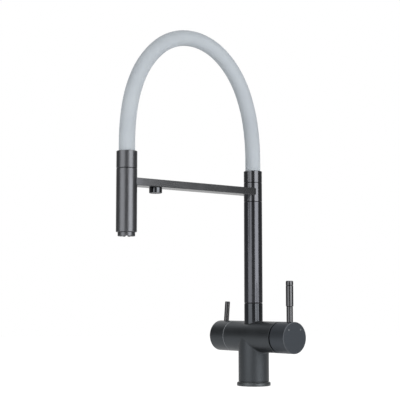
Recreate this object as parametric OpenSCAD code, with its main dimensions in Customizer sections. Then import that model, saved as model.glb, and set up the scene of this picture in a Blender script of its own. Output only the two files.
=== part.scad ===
// Filter kitchen mixer tap with a soft hose and a docked spray head.
// +Z is up and z = 0 is the deck. The spout points to -Y, the mixer lever is at +X
// and the filter lever is at -X. Millimetres.

/* [Base and body] */
// Diameter of the ring that stands on the deck
base_ring_d = 51; // [49:0.5:56]
// Height of the base ring
base_ring_h = 6.6; // [5:0.2:9]
// Wall of the base ring, round the spigot that centres the body in it
base_ring_wall = 5.25; // [4.5:0.05:5.5]
// Diameter of the upright body
body_d = 46.2; // [44:0.2:46.2]
// Diameter of the crossbar and of both handle caps
crossbar_d = 46.4; // [46.4:0.2:50]
// Height of the crossbar's axis above the deck
crossbar_z = 73.5; // [70:0.5:90]
// End of the crossbar from the centre, mixer side
crossbar_right = 57.6; // [57:0.2:64]
// End of the crossbar from the centre, filter side
crossbar_left = 44.4; // [44:0.2:52]
// Width of the bevel on turned edges
edge = 0.5; // [0.2:0.1:1]

/* [Supply ports] */
// Core diameter of the M10x1 hose ports
port_d = 8.9; // [8:0.1:9]
// Depth of the hose ports' thread
port_depth = 14; // [10:1:20]
// Distance of the hot and cold ports from the centre along X
port_x = 9.5; // [9:0.5:10]
// Distance of the hot and cold ports from the centre along Y
port_y = 9; // [8:0.5:10]
// Distance of the filtered water port from the centre
filter_port_x = 12.5; // [12:0.5:14]
// Core diameter of the M8 stud holes
stud_hole_d = 6.8; // [5:0.1:7]
// Depth of the stud holes
stud_depth = 16; // [12:1:20]
// Distance of each stud hole from the centre
stud_y = 14; // [13:0.5:15]
// Diameter of the cast waterways
waterway_d = 6.4; // [5:0.2:7]

/* [Column] */
// Diameter of the neck, the column and its collar
column_d = 28; // [27:0.5:30]
// Wall of the column tube
column_wall = 2.2; // [1.5:0.1:2.6]
// Height of the neck's top, where the spout swivels
neck_top = 123.6; // [115:0.2:140]
// Thickness of the swivel washer
washer_t = 0.6; // [0.4:0.1:1]
// Bore of the neck
neck_bore_d = 20; // [19:0.5:21]
// Depth of the spigot in the neck
swivel_depth = 25.6; // [20:0.2:26]
// Bore of the swivel spigot
swivel_bore_d = 14; // [12:0.5:15]
// Height of the lower edge of the arm ring
ring_low = 278.1; // [260:0.5:282]
// Height of the upper edge of the arm ring
ring_high = 307.4; // [304:0.5:312]
// Height of the collar's top
collar_top = 325.5; // [322:0.5:340]
// Diameter of the filtered water tube in the column
filter_tube_d = 6; // [5:0.5:6]
// Bore of the filtered water tube
filter_tube_bore = 4; // [3:0.5:4.5]

/* [Arm and dock] */
// Width of the arm
arm_w = 26; // [24:0.5:27]
// Height of the arm
arm_h = 10.5; // [10:0.5:13]
// Height of the arm's middle above the deck
arm_z = 293.4; // [290:0.2:297]
// Width of the bevel along the arm
arm_edge = 0.7; // [0.3:0.1:1.5]
// Distance of the filtered water outlet from the spray head's axis
outlet_inset = 50.2; // [41:0.2:86]
// Diameter of the filtered water outlet
outlet_d = 18.6; // [17:0.2:20]
// Length of the outlet below the arm
outlet_drop = 8.1; // [7:0.2:12]
// Thickness of the dock at its middle
dock_t = 2.8; // [2.4:0.2:5]
// Diameter of the dock's magnet
magnet_d = 8; // [6:0.5:9]

/* [Spray head] */
// Distance of the spray head's axis from the column's axis
reach = 236; // [225:1:260]
// Diameter of the spray head
head_d = 29.4; // [28.6:0.2:32]
// Height of the barrel's lower edge
barrel_bottom = 222.5; // [205:0.5:235]
// Height of the seam between barrel and collar
head_seam = 311.7; // [308:0.5:314]
// Height of the head collar's top
head_top = 336.2; // [332:0.5:342]
// Diameter of the nozzle ring
nozzle_d = 24.5; // [24:0.5:26]
// Length of the nozzle ring below the barrel
nozzle_drop = 5.8; // [5:0.2:8]
// Number of finger notches in the nozzle ring
notches = 10; // [6:1:14]
// Wall of the barrel
barrel_wall = 2.6; // [2:0.1:3]

/* [Hose] */
// Outer diameter of the silicone sleeve
hose_d = 23; // [22:0.2:23.2]
// Bore of the silicone sleeve
hose_bore = 15.2; // [15.1:0.1:17]
// Outer diameter of the water hose in the sleeve
inner_hose_d = 15; // [13:0.5:15]
// Bore of the water hose
inner_hose_bore = 10; // [9.9:0.1:11]
// Straight length of the hose above the column's collar
hose_rise = 17.3; // [10:0.5:40]

/* [Mixer handle] */
// Gap between the crossbar and the mixer cap
cap_gap = 2.7; // [2.5:0.1:4]
// Length of the mixer cap
mixer_cap_l = 29.6; // [29:0.1:36]
// Wall of the mixer cap at its open rim
cap_wall = 1.8; // [1.5:0.1:2]
// Distance of the mixer lever from the cap's outer face
lever_inset = 10.4; // [10:0.1:13]
// Diameter of the mixer lever's rod
lever_rod_d = 9.5; // [8:0.1:10]
// Diameter of the mixer lever's grip
lever_grip_d = 11; // [10.5:0.1:14]
// Height of the rod's top above the crossbar's axis
lever_rod_top = 45.4; // [40:0.2:60]
// Height of the grip's top above the crossbar's axis
lever_grip_top = 76.4; // [66:0.2:100]
// Length of the lever's end cap
lever_tip_l = 6.7; // [4:0.1:12]
// Largest tilt of the mixer lever in degrees
tilt_max = 16; // [10:1:16]
// Diameter of the hot and cold marks
mark_d = 2.6; // [1.5:0.1:4]

/* [Cartridge] */
// Diameter of the ceramic cartridge
cartridge_d = 35; // [34.5:0.1:35.5]
// Length of the ceramic cartridge from its seat
housing_l = 29.9; // [29:0.1:32]
// Distance of the tilt pin from the inner end of the cartridge's carrier
pivot_in = 4.35; // [4:0.05:5]
// Side of the lever stem's square
stem_side = 8; // [7:0.1:8.4]
// Diameter of the tilt pin
pin_d = 3; // [2.5:0.1:3.5]

/* [Filter handle] */
// Gap between the crossbar and the filter cap
filter_cap_gap = 0.4; // [0.3:0.1:1]
// Length of the filter cap
filter_cap_l = 32.4; // [30:0.1:38]
// Distance of the filter lever from the cap's outer face
filter_lever_inset = 11.1; // [10.5:0.1:15]
// Diameter of the filter lever
filter_lever_d = 7.8; // [6.5:0.1:9]
// Height of the filter lever's tip above the crossbar's axis
filter_lever_top = 52.9; // [45:0.2:70]
// Angle that the closed filter lever leans back in degrees
filter_lean = 5; // [0:1:15]
// Diameter of the filter valve
filter_valve_d = 22; // [21:0.2:23]
// Distance of the filter valve's seat from the centre
filter_valve_x = 19; // [18.5:0.1:19.5]
// Diameter of the filter valve's spindle
spindle_d = 8; // [7:0.1:8.5]

/* [Hidden] */
$fn = 72;

// Clearances: a turning fit, pieces that stay together, pieces that move apart, a saw cut.
run_gap = 0.05;
fit_gap = 0.05;
part_gap = 0.3;
cut = 1;

// Finishes
graphite = "#46484b";
gunmetal = "#6b6e71";
satin_steel = "#b4b7ba";
brass = "#c9a552";
silicone_grey = "#c3c8cb";
black_rubber = "#1f2022";
cartridge_white = "#e4e2da";
ceramic_white = "#f2efe6";
bronze = "#a4733d";
mark_grey = "#b9bdbf";

// Places along the crossbar
cap_rim = crossbar_right + cap_gap;
cap_face = cap_rim + mixer_cap_l;
lever_x = cap_face - lever_inset;
filter_rim = crossbar_left + filter_cap_gap;
filter_face = filter_rim + filter_cap_l;
filter_lever_x = filter_face - filter_lever_inset;
crossbar_r = crossbar_d / 2;
column_r = column_d / 2;
column_bore_r = column_r - column_wall;
head_r = head_d / 2;
spigot_d = base_ring_d - 2 * base_ring_wall;
outlet_y = reach - outlet_inset;

// Cartridge stack, distances from its seat
base_t = 5;
disc_t = 3;
moving_disc_t = 3.5;
driver_t = 4.3;
housing_bore_d = 31;
housing_lip_t = 1.7;
carrier_hub_d = 25.8;
carrier_hub_l = 1.5;
nut_t = 6;
nut_sink = 2.2;
nut_d = 38.6;
nut_bore_d = 27;
fixed_disc_d = 28;
moving_disc_d = 22;
driver_d = 20;
ball_r = 2.45;
ball_gap = 0.1;
stem_neck_d = 4.2;
stem_block = 2.6;
slot_w = stem_side + 1;
pin_l = 24;
seal_r = 0.88;
housing_end = crossbar_right - nut_sink - nut_t;
cartridge_x = housing_end - housing_l;
disc_face = cartridge_x + base_t + disc_t;
driver_face = disc_face + run_gap + moving_disc_t;
ball_x = driver_face + ball_r + ball_gap;
carrier_x = driver_face + driver_t + part_gap;
pivot_x = carrier_x + pivot_in;
hub_reach = housing_end + carrier_hub_l - pivot_x;
slot_l = 2 * hub_reach * tan(tilt_max) + stem_side / cos(tilt_max) + 4 * part_gap;
base_way_d = waterway_d - 0.6;
disc_way_d = waterway_d - 1.4;
disc_pocket_d = 9;
disc_pocket_t = 1.8;
disc_pocket_z = 2;
nut_notches = 4;
nut_notch_w = 4;
nut_notch_l = 3;
nut_notch_t = 2;
outlet_port_z = 9;
feed_z = -5;

// Base seal
seal_land = 1.25;
seal_outer_d = base_ring_d - 2 * seal_land;
seal_inner_d = spigot_d + 2 * seal_land;
seal_groove = 1.5;

// Dome ring and cap interior
dome_d = 40.4;
dome_bore_d = 25;
dome_flange_t = 2;
dome_nose_d = 28;
dome_nose_l = 3.4;
cap_cavity_l = 7.7;
cap_floor = cap_rim + cap_cavity_l;
hub_r = 9;
cap_end_t = 5;
boss_r = 7.5;
grub_boss_r = 4.5;
pocket_wall = 3;
stem_cover = 6.6;
stem_end = cap_face - stem_cover;
face_bevel = 1.6 * edge;
root_gap = 0.5;
stud_d = 6;
lever_foot = 20.5;
lever_root = 9;
lever_stud_l = 15;
lever_tip_stud = 6;
grub_d = 5;
grub_l = 9;
grub_hex = 2.9;
grub_in = 5;
grub_x = cap_floor + grub_in;
mark_r = 0.72 * crossbar_r;
mark_angle = 45;
mark_t = 0.35;
mark_proud = 0.05;

// Filter valve stack, distances from its seat
valve_seal_t = 3;
valve_disc_t = 3;
valve_disc_d = 15.6;
valve_bore_d = 16;
valve_l = 19;
valve_bore_l = 15;
valve_flange_d = 30;
valve_flange_t = 2.5;
valve_nut_t = 3.6;
valve_nut_bore_d = 14;
valve_window_x = 13.5;
valve_window_d = 5;
disc_window_r = 3.6;
valve_seal_land = 0.5;
spindle_shoulder = 1;
spindle_foot_t = 3;
spindle_neck_d = 9;
filter_cavity_l = 11.2;
filter_cap_wall = 2.4;
filter_cavity_r = crossbar_r - filter_cap_wall;
spindle_cover = 7.2;
spindle_end = filter_face - spindle_cover;
filter_grub_d = 4;
filter_grub_l = 7;
filter_grub_hex = 2.3;
filter_grub_in = 3.8;
filter_grub_x = filter_rim + filter_cavity_l + filter_grub_in;
filter_stud_d = 5;
filter_lever_root = 8;
filter_lever_foot = 21;

// Waterways in the casting
mixed_x = 7.2;
mixed_d = 5;
way_gap = 0.4;
feed_d = waterway_d - 2 * way_gap;
filter_feed_z = 14.5;
filter_feed_d = 5;
filter_rise_d = filter_feed_d - 2 * way_gap;
tube_seat_rise = 3;
tube_seal_rise = 1.6;
tube_seal_r = 0.55;
tube_seal_out = filter_tube_d / 2 + run_gap + 2 * tube_seal_r;
tube_seal_w = 2 * tube_seal_r + 2 * fit_gap;
spigot_foot_gap = 1;
spigot_low = neck_top + washer_t - swivel_depth;
neck_floor = spigot_low - spigot_foot_gap;

// Swivel
spigot_plug_l = 15.7;
o_ring_r = 0.93;
o_ring_low = 6;
o_ring_pitch = 8;
lock_drop = 4.5;
lock_z = neck_top - lock_drop;
lock_screw_d = 4;
lock_groove_w = lock_screw_d + 2 * part_gap;
lock_groove_t = 1.2;
lock_tip_gap = 0.2;
lock_tip_r = neck_bore_d / 2 - run_gap - lock_groove_t + lock_tip_gap;
lock_hex = 2.3;
lock_sink = 0.6;

// Spout
column_low = neck_top + washer_t + run_gap;
ring_seam = 0.1;
plug_l = 12;
ring_plug_l = 4.5;
ring_bore_r = 9;
ring_hub_r = 5.5;
ring_hub_drop = 9.5;
ring_hub_l = 13;
ring_boss_r = 6;
nipple_r = 4;
nipple_bore_r = 2.5;
nipple_l = 13;
nipple_start = 8;
filter_seat_z = crossbar_z + filter_feed_z + tube_seat_rise;

// Outlet and dock
outlet_spigot_r = 6;
outlet_spigot_l = 3;
aerator_r = 7.4;
aerator_t = 4.4;
aerator_inset = 0.5;
aerator_hole_r = 0.7;
aerator_ring_r = 4.4;
aerator_holes = 8;
arm_end = reach - head_r - part_gap - dock_t;
magnet_t = 5;
magnet_inset = 0.6;
magnet_back = magnet_inset + magnet_t - arm_end - dock_t;
dock_screw_x = 9;
dock_screw_d = 2.5;
dock_screw_head_d = 4.4;
dock_screw_head_t = 2.4;
dock_screw_l = 10;
dock_screw_hex = 1.9;
dock_screw_in = 1.6;
dock_screw_y = arm_end + dock_screw_in;

// Hose ends
barb_flange_r = 10.5;
barb_flange_t = 2;
barb_l = 17;
barb_wall = 1.5;
hose_seat_gap = 0.1;
column_seat_z = ring_high + ring_plug_l;
hose_low = column_seat_z + barb_flange_t + hose_seat_gap;
collar_floor_t = 8.5;
head_seat_z = head_seam + collar_floor_t;
hose_end_z = head_seat_z + barb_flange_t + hose_seat_gap;
head_stud_r = 6;
head_stud_l = 22;
collar_bore_r = hose_d / 2 + part_gap;

// Spray head inside
head_gap = 0.15;
core_inset = 0.5;
core_low = barrel_bottom + core_inset;
barrel_r = head_r - barrel_wall;
core_r = barrel_r - 2 * fit_gap;
core_way_r = 4.8;
valve_way_r = 7;
valve_shelf = 10.9;
valve_way_l = 14;
valve_z = head_seat_z - head_stud_l - part_gap - valve_shelf - valve_way_l;
valve_body_l = 12;
valve_slots = 6;
valve_slot_r = 4.4;
valve_slot_d = 2.4;
magnet_ring_t = 2.2;
magnet_ring_h = 12;
core_skirt_t = 1;
nozzle_tail_r = core_r - core_skirt_t;
nozzle_tail_l = 11;
nozzle_bore_r = 9;
nozzle_low = barrel_bottom - nozzle_drop;
notch_r = 1.7;
plate_t = 3;
plate_inset = 1.3;
jet_r = 0.55;
jet_rings = [[1, 0], [6, 3], [12, 6.2]];

// The hose's arc, from the column over the top to the head: the turn of each bend in
// degrees and its radius. The radii are scaled together so that the arc spans the reach.
bend_turn = [10, 16, 28, 36, 40, 26, 14, 10];
bend_radius = [305, 195, 130, 100, 95, 135, 185, 290];
function sum_to(v, n) = n == 0 ? 0 : v[n - 1] + sum_to(v, n - 1);
function turned(i) = sum_to(bend_turn, i);
bend_y = [for (i = [0:7]) bend_radius[i] * (cos(turned(i)) - cos(turned(i + 1)))];
bend_z = [for (i = [0:7]) bend_radius[i] * (sin(turned(i + 1)) - sin(turned(i)))];
bend_scale = reach / sum_to(bend_y, 8);
bend_start = collar_top + hose_rise;
bend_end = bend_start + bend_scale * sum_to(bend_z, 8);
bend_steps = 4;
function along_bend(i, f) =
    let (r = bend_radius[i] * bend_scale, from = turned(i), to = from + f * bend_turn[i])
    [-bend_scale * sum_to(bend_y, i) - r * (cos(from) - cos(to)),
        bend_start + bend_scale * sum_to(bend_z, i) + r * (sin(to) - sin(from)), to];
// Points of the hose's centreline: -Y reach, height and the angle turned so far
hose_path = concat([[0, hose_low, 0]],
    [for (i = [0:7], k = [0:bend_steps - 1]) along_bend(i, k / bend_steps)],
    [[-reach, bend_end, 180], [-reach, hose_end_z, 180]]);
function hose_rings(r, sides) = [for (p = hose_path, j = [0:sides - 1])
    let (t = 360 * j / sides)
    [r * sin(t), p[0] + r * cos(t) * cos(p[2]), p[1] + r * cos(t) * sin(p[2])]];

// A local Z axis that runs out along the crossbar, to the mixer side or the filter side
module to_right(x) {
    translate([x, 0, crossbar_z]) rotate([0, 90, 0]) children();
}
module to_left(x) {
    translate([-x, 0, crossbar_z]) rotate([0, -90, 0]) children();
}
module at_head(z) {
    translate([0, -reach, z]) children();
}
module bevelled(d, h, low, high) {
    r = d / 2;
    foot = low > 0 ? [[r - low, 0], [r, low]] : [[r, 0]];
    head = high > 0 ? [[r, h - high], [r - high, h]] : [[r, h]];
    rotate_extrude() polygon(concat([[0, 0]], foot, head, [[0, h]]));
}
// A drill that clears both ends of what it goes through
module bore(d, h) {
    translate([0, 0, -cut]) cylinder(d = d, h = h + 2 * cut);
}
module ring(outer_d, inner_d, h) {
    difference() {
        cylinder(d = outer_d, h = h);
        bore(inner_d, h);
    }
}
module o_ring(centre_r, section_r) {
    rotate_extrude() translate([centre_r, 0]) circle(r = section_r, $fn = 32);
}
module around(n) {
    for (i = [0:n - 1]) rotate([0, 0, i * 360 / n]) children();
}

// Body casting with its crossbar, neck and waterways
module tap_body() {
    color(graphite) difference() {
        union() {
            cylinder(d = spigot_d, h = base_ring_h + cut);
            translate([0, 0, base_ring_h]) bevelled(body_d, crossbar_z - base_ring_h, edge, 0);
            to_right(-crossbar_left)
                bevelled(crossbar_d, crossbar_left + crossbar_right, edge, edge);
            translate([0, 0, crossbar_z])
                bevelled(column_d, neck_top - crossbar_z, 0, edge);
        }
        supply_ways();
        cartridge_chamber();
        filter_chamber();
        neck_ways();
    }
}
module supply_ways() {
    for (y = [-port_y, port_y]) {
        translate([port_x, y, -cut]) cylinder(d = port_d, h = port_depth + cut);
        translate([port_x, y, 0])
            cylinder(d = waterway_d, h = crossbar_z + feed_z + waterway_d / 2);
        translate([port_x, y, feed_z]) to_right(0)
            cylinder(d = feed_d, h = cartridge_x - port_x + cut);
    }
    translate([-filter_port_x, 0, -cut]) cylinder(d = port_d, h = port_depth + cut);
    translate([-filter_port_x, 0, 0])
        cylinder(d = waterway_d, h = crossbar_z + waterway_d / 2);
    to_left(filter_port_x) cylinder(d = feed_d, h = filter_valve_x - filter_port_x + cut);
    for (y = [-stud_y, stud_y])
        translate([0, y, -cut]) cylinder(d = stud_hole_d, h = stud_depth + cut);
}
module cartridge_chamber() {
    to_right(cartridge_x)
        cylinder(d = cartridge_d + 4 * fit_gap, h = crossbar_right - cartridge_x + cut);
    to_right(housing_end)
        cylinder(d = nut_d + 4 * fit_gap, h = crossbar_right - housing_end + cut);
    translate([0, 0, outlet_port_z]) to_right(mixed_x - mixed_d / 2 - way_gap)
        cylinder(d = waterway_d, h = cartridge_x - mixed_x + mixed_d / 2 + way_gap + cut);
    translate([mixed_x, 0, crossbar_z + outlet_port_z])
        cylinder(d = mixed_d, h = neck_floor - crossbar_z - outlet_port_z + cut);
}
module filter_chamber() {
    to_left(filter_valve_x)
        cylinder(d = filter_valve_d + 4 * fit_gap, h = crossbar_left - filter_valve_x + cut);
    to_left(filter_valve_x + valve_l)
        cylinder(d = valve_flange_d + 4 * fit_gap, h = crossbar_left - filter_valve_x - valve_l + cut);
    translate([-filter_valve_x - valve_window_x, 0, crossbar_z])
        cylinder(d = filter_rise_d, h = filter_feed_z);
    translate([0, 0, filter_feed_z]) to_left(-filter_tube_bore / 2 - way_gap)
        cylinder(d = filter_feed_d, h = filter_valve_x + valve_window_x
            + (filter_feed_d + filter_tube_bore) / 2 + way_gap);
    translate([0, 0, crossbar_z + filter_feed_z])
        cylinder(d = filter_tube_bore, h = tube_seat_rise + cut);
}
module neck_ways() {
    translate([0, 0, filter_seat_z])
        cylinder(d = filter_tube_d + 2 * run_gap, h = neck_floor - filter_seat_z + cut);
    translate([0, 0, filter_seat_z + tube_seal_rise])
        cylinder(r = tube_seal_out, h = tube_seal_w);
    translate([0, 0, neck_floor]) cylinder(d = neck_bore_d, h = neck_top - neck_floor + cut);
    translate([0, 0, lock_z]) rotate([-90, 0, 0])
        cylinder(d = lock_screw_d + 2 * fit_gap, h = column_r + cut);
}

module base_ring() {
    color(graphite) difference() {
        bevelled(base_ring_d, base_ring_h, edge, 2 * edge);
        bore(spigot_d + 2 * fit_gap, base_ring_h);
        translate([0, 0, -cut]) ring(seal_outer_d, seal_inner_d, seal_groove + cut);
    }
}
module base_seal() {
    color(black_rubber)
        ring(seal_outer_d - 2 * fit_gap, seal_inner_d + 2 * fit_gap, seal_groove);
}

// Swivel at the neck
module swivel_washer() {
    color(black_rubber) translate([0, 0, neck_top])
        ring(column_d - 2 * edge, neck_bore_d + 2 * fit_gap, washer_t);
}
module swivel_grub_screw() {
    color(satin_steel) translate([0, 0, lock_z]) rotate([-90, 0, 0]) difference() {
        translate([0, 0, lock_tip_r])
            cylinder(d = lock_screw_d, h = column_r - lock_sink - lock_tip_r);
        translate([0, 0, column_r - lock_sink - lock_hex])
            cylinder(d = lock_hex, h = 2 * lock_hex, $fn = 6);
    }
}
module swivel_spigot() {
    low = spigot_low;
    color(brass) translate([0, 0, low]) difference() {
        union() {
            cylinder(d = neck_bore_d - 2 * run_gap, h = column_low - low + cut);
            translate([0, 0, column_low - low])
                cylinder(r = column_bore_r - fit_gap, h = spigot_plug_l);
        }
        bore(swivel_bore_d, column_low - low + spigot_plug_l);
        for (i = [0, 1]) translate([0, 0, o_ring_low + i * o_ring_pitch - o_ring_r - fit_gap])
            ring(neck_bore_d + cut, neck_bore_d - 4 * o_ring_r - 4 * run_gap - 2 * fit_gap,
                2 * o_ring_r + 2 * fit_gap);
        translate([0, 0, lock_z - low - lock_groove_w / 2])
            ring(neck_bore_d + cut, neck_bore_d - 2 * run_gap - 2 * lock_groove_t, lock_groove_w);
    }
}
module swivel_o_rings() {
    color(black_rubber) for (i = [0, 1])
        translate([0, 0, spigot_low + o_ring_low + i * o_ring_pitch])
            o_ring(neck_bore_d / 2 - run_gap - o_ring_r, o_ring_r);
}

// Mixer cartridge
module cartridge_ports() {
    for (y = [-port_y, port_y]) translate([-feed_z, y, 0]) children();
    translate([-outlet_port_z, 0, 0]) children();
}
module cartridge_seals() {
    color(black_rubber) to_right(cartridge_x + seal_r + fit_gap)
        cartridge_ports() o_ring(waterway_d / 2 + seal_r, seal_r);
}
module cartridge_base() {
    color(cartridge_white) to_right(cartridge_x) difference() {
        translate([0, 0, 2 * fit_gap]) cylinder(d = cartridge_d, h = base_t - 2 * fit_gap);
        cartridge_ports() bore(base_way_d, base_t);
        cartridge_ports() translate([0, 0, -cut])
            cylinder(d = waterway_d + 4 * seal_r + 2 * fit_gap, h = cut + 2 * seal_r + 2 * fit_gap);
    }
}
module cartridge_fixed_disc() {
    color(ceramic_white) to_right(cartridge_x + base_t) difference() {
        cylinder(d = fixed_disc_d, h = disc_t);
        cartridge_ports() bore(disc_way_d, disc_t);
    }
}
module cartridge_moving_disc() {
    color(ceramic_white) to_right(disc_face + run_gap) difference() {
        cylinder(d = moving_disc_d, h = moving_disc_t);
        translate([disc_pocket_z, 0, -cut]) cylinder(d = disc_pocket_d, h = cut + disc_pocket_t);
    }
}
module disc_driver() {
    color(cartridge_white) to_right(driver_face) difference() {
        cylinder(d = driver_d, h = driver_t);
        bore(2 * (ball_r + ball_gap), driver_t);
    }
}
module cartridge_housing() {
    start = base_t;
    color(cartridge_white) to_right(cartridge_x) difference() {
        translate([0, 0, start]) cylinder(d = cartridge_d, h = housing_l - start);
        translate([0, 0, start - cut])
            cylinder(d = housing_bore_d, h = housing_l - housing_lip_t - start + cut);
        bore(carrier_hub_d + 2 * run_gap, housing_l);
    }
}
module cartridge_carrier() {
    shoulder = housing_end - housing_lip_t - run_gap;
    color(cartridge_white) difference() {
        union() {
            to_right(carrier_x)
                cylinder(d = housing_bore_d - 2 * run_gap, h = shoulder - carrier_x);
            to_right(shoulder)
                cylinder(d = carrier_hub_d, h = housing_end + carrier_hub_l - shoulder);
        }
        translate([(carrier_x + housing_end) / 2, 0, crossbar_z])
            cube([2 * housing_l, slot_w, slot_l], center = true);
        tilt_hole(pin_d + 2 * fit_gap);
    }
}
module tilt_hole(d) {
    translate([pivot_x, 0, crossbar_z]) rotate([90, 0, 0])
        cylinder(d = d, h = cartridge_d, center = true);
}
module tilt_pin() {
    color(satin_steel) translate([pivot_x, 0, crossbar_z]) rotate([90, 0, 0])
        cylinder(d = pin_d, h = pin_l, center = true);
}
module lever_stem() {
    block_x = pivot_x - stem_block;
    color(brass) difference() {
        union() {
            translate([ball_x, 0, crossbar_z]) sphere(r = ball_r);
            to_right(ball_x) cylinder(d = stem_neck_d, h = block_x - ball_x + cut);
            translate([block_x, -stem_side / 2, crossbar_z - stem_side / 2])
                cube([stem_end - block_x, stem_side, stem_side]);
        }
        tilt_hole(pin_d + 2 * run_gap);
    }
}
module cartridge_nut() {
    color(brass) to_right(housing_end) difference() {
        cylinder(d = nut_d, h = nut_t);
        bore(nut_bore_d, nut_t);
        around(nut_notches)
            translate([nut_d / 2 - nut_notch_l, -nut_notch_w / 2, nut_t - nut_notch_t])
                cube([2 * nut_notch_l, nut_notch_w, 2 * nut_notch_t]);
    }
}
module dome_ring() {
    color(graphite) to_right(crossbar_right - nut_sink) difference() {
        union() {
            cylinder(d = nut_d, h = nut_sink + cut);
            translate([0, 0, nut_sink]) rotate_extrude() polygon([
                [0, 0], [dome_d / 2, 0], [dome_d / 2, dome_flange_t],
                [dome_nose_d / 2, dome_flange_t + dome_nose_l], [0, dome_flange_t + dome_nose_l]
            ]);
        }
        bore(dome_bore_d, nut_sink + dome_flange_t + dome_nose_l);
    }
}

// Mixer handle
module mixer_cap() {
    body_l = cap_face - cap_rim;
    color(graphite) difference() {
        to_right(cap_rim) bevelled(crossbar_d, body_l, edge, face_bevel);
        to_right(cap_rim - cut) cylinder(r = crossbar_r - cap_wall, h = cap_cavity_l + cut);
        cap_pocket(cap_floor, cap_face - cap_end_t, lever_x, grub_x, 0);
        translate([cap_floor - cut, -stem_side / 2 - fit_gap, crossbar_z - stem_side / 2 - fit_gap])
            cube([stem_end - cap_floor + cut + fit_gap, stem_side + 2 * fit_gap,
                stem_side + 2 * fit_gap]);
        translate([grub_x, 0, crossbar_z - crossbar_r - cut])
            cylinder(d = grub_d + 2 * fit_gap, h = crossbar_r + cut);
        translate([lever_x, 0, crossbar_z + lever_root - root_gap])
            cylinder(d = stud_d + 2 * fit_gap, h = crossbar_r);
        translate([lever_x, 0, crossbar_z + lever_foot])
            cylinder(d = lever_rod_d + 2 * fit_gap, h = crossbar_r);
        mark_places() cylinder(d = mark_d + 2 * fit_gap, h = mark_t + cut);
    }
}
// Ring-shaped pocket that lightens a cap and leaves bosses for its lever and grub screw
module cap_pocket(from, to, lever_at, grub_at, lean) {
    difference() {
        to_right(from - cut)
            ring(2 * (crossbar_r - pocket_wall), 2 * hub_r, to - from + cut);
        translate([lever_at, 0, crossbar_z]) rotate([-lean, 0, 0])
            cylinder(r = boss_r, h = crossbar_r);
        translate([grub_at, 0, crossbar_z - crossbar_r])
            cylinder(r = grub_boss_r, h = crossbar_r);
    }
}
module mark_places() {
    for (side = [-1, 1]) to_right(cap_face - mark_t)
        rotate([0, 0, 180 + side * mark_angle]) translate([mark_r, 0, 0]) children();
}
module temperature_marks() {
    color(mark_grey) mark_places() cylinder(d = mark_d, h = mark_t + mark_proud);
}
module grub_screw(d, l, hex) {
    difference() {
        cylinder(d = d, h = l);
        translate([0, 0, -cut]) cylinder(d = hex, h = l / 3 + cut, $fn = 6);
    }
}
module mixer_grub_screw() {
    color(satin_steel) translate([grub_x, 0, crossbar_z - stem_side / 2 - grub_l])
        grub_screw(grub_d, grub_l, grub_hex);
}
module mixer_lever_rod() {
    color(gunmetal) translate([lever_x, 0, crossbar_z]) {
        translate([0, 0, lever_root]) cylinder(d = stud_d, h = lever_foot - lever_root + cut);
        translate([0, 0, lever_foot + fit_gap])
            bevelled(lever_rod_d, lever_rod_top - lever_foot - fit_gap, 0, edge);
        translate([0, 0, lever_rod_top - cut]) cylinder(d = stud_d, h = lever_stud_l + cut);
    }
}
module mixer_lever_grip() {
    color(gunmetal) translate([lever_x, 0, crossbar_z + lever_rod_top]) difference() {
        bevelled(lever_grip_d, lever_grip_top - lever_rod_top, edge, edge);
        translate([0, 0, -cut]) cylinder(d = stud_d + 2 * fit_gap, h = lever_stud_l + fit_gap + cut);
        translate([0, 0, lever_grip_top - lever_rod_top - lever_tip_stud])
            cylinder(d = stud_d + 2 * fit_gap, h = lever_tip_stud + cut);
    }
}
module mixer_lever_tip() {
    color(gunmetal) translate([lever_x, 0, crossbar_z + lever_grip_top]) {
        bevelled(lever_grip_d, lever_tip_l, edge, 2 * edge);
        translate([0, 0, fit_gap - lever_tip_stud]) cylinder(d = stud_d, h = lever_tip_stud);
    }
}

// Filter valve
module filter_valve_seal() {
    color(black_rubber) to_left(filter_valve_x)
        ring(valve_bore_d - 2 * fit_gap, waterway_d + 2 * valve_seal_land, valve_seal_t);
}
module filter_fixed_disc() {
    color(ceramic_white) to_left(filter_valve_x + valve_seal_t) difference() {
        cylinder(d = valve_bore_d - 2 * fit_gap, h = valve_disc_t);
        translate([0, disc_window_r, 0]) bore(valve_window_d, valve_disc_t);
    }
}
module filter_moving_disc() {
    color(ceramic_white) to_left(filter_valve_x + valve_seal_t + valve_disc_t + run_gap) difference() {
        cylinder(d = valve_disc_d, h = valve_disc_t);
        translate([disc_window_r, 0, 0]) bore(valve_window_d, valve_disc_t);
    }
}
module filter_valve_housing() {
    color(brass) to_left(filter_valve_x) difference() {
        union() {
            translate([0, 0, fit_gap]) cylinder(d = filter_valve_d, h = valve_l);
            translate([0, 0, valve_l + fit_gap]) cylinder(d = valve_flange_d, h = valve_flange_t);
        }
        translate([0, 0, -cut]) cylinder(d = valve_bore_d, h = valve_bore_l + cut);
        bore(spindle_neck_d + 2 * run_gap, valve_l + valve_flange_t + fit_gap);
        translate([0, 0, valve_window_x]) rotate([0, 90, 0])
            cylinder(d = valve_window_d, h = filter_valve_d);
    }
}
module filter_valve_nut() {
    color(brass) to_left(filter_valve_x + valve_l + valve_flange_t + fit_gap) difference() {
        cylinder(d = valve_flange_d, h = valve_nut_t - 2 * fit_gap);
        bore(valve_nut_bore_d, valve_nut_t);
    }
}
module filter_spindle() {
    foot = filter_valve_x + valve_seal_t + 2 * valve_disc_t + run_gap;
    neck_end = filter_valve_x + valve_l + valve_flange_t + spindle_shoulder;
    color(brass) {
        to_left(foot) cylinder(d = valve_disc_d, h = spindle_foot_t);
        to_left(foot + spindle_foot_t)
            cylinder(d = spindle_neck_d, h = neck_end - foot - spindle_foot_t);
        to_left(neck_end) cylinder(d = spindle_d, h = spindle_end - neck_end);
    }
}

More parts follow.
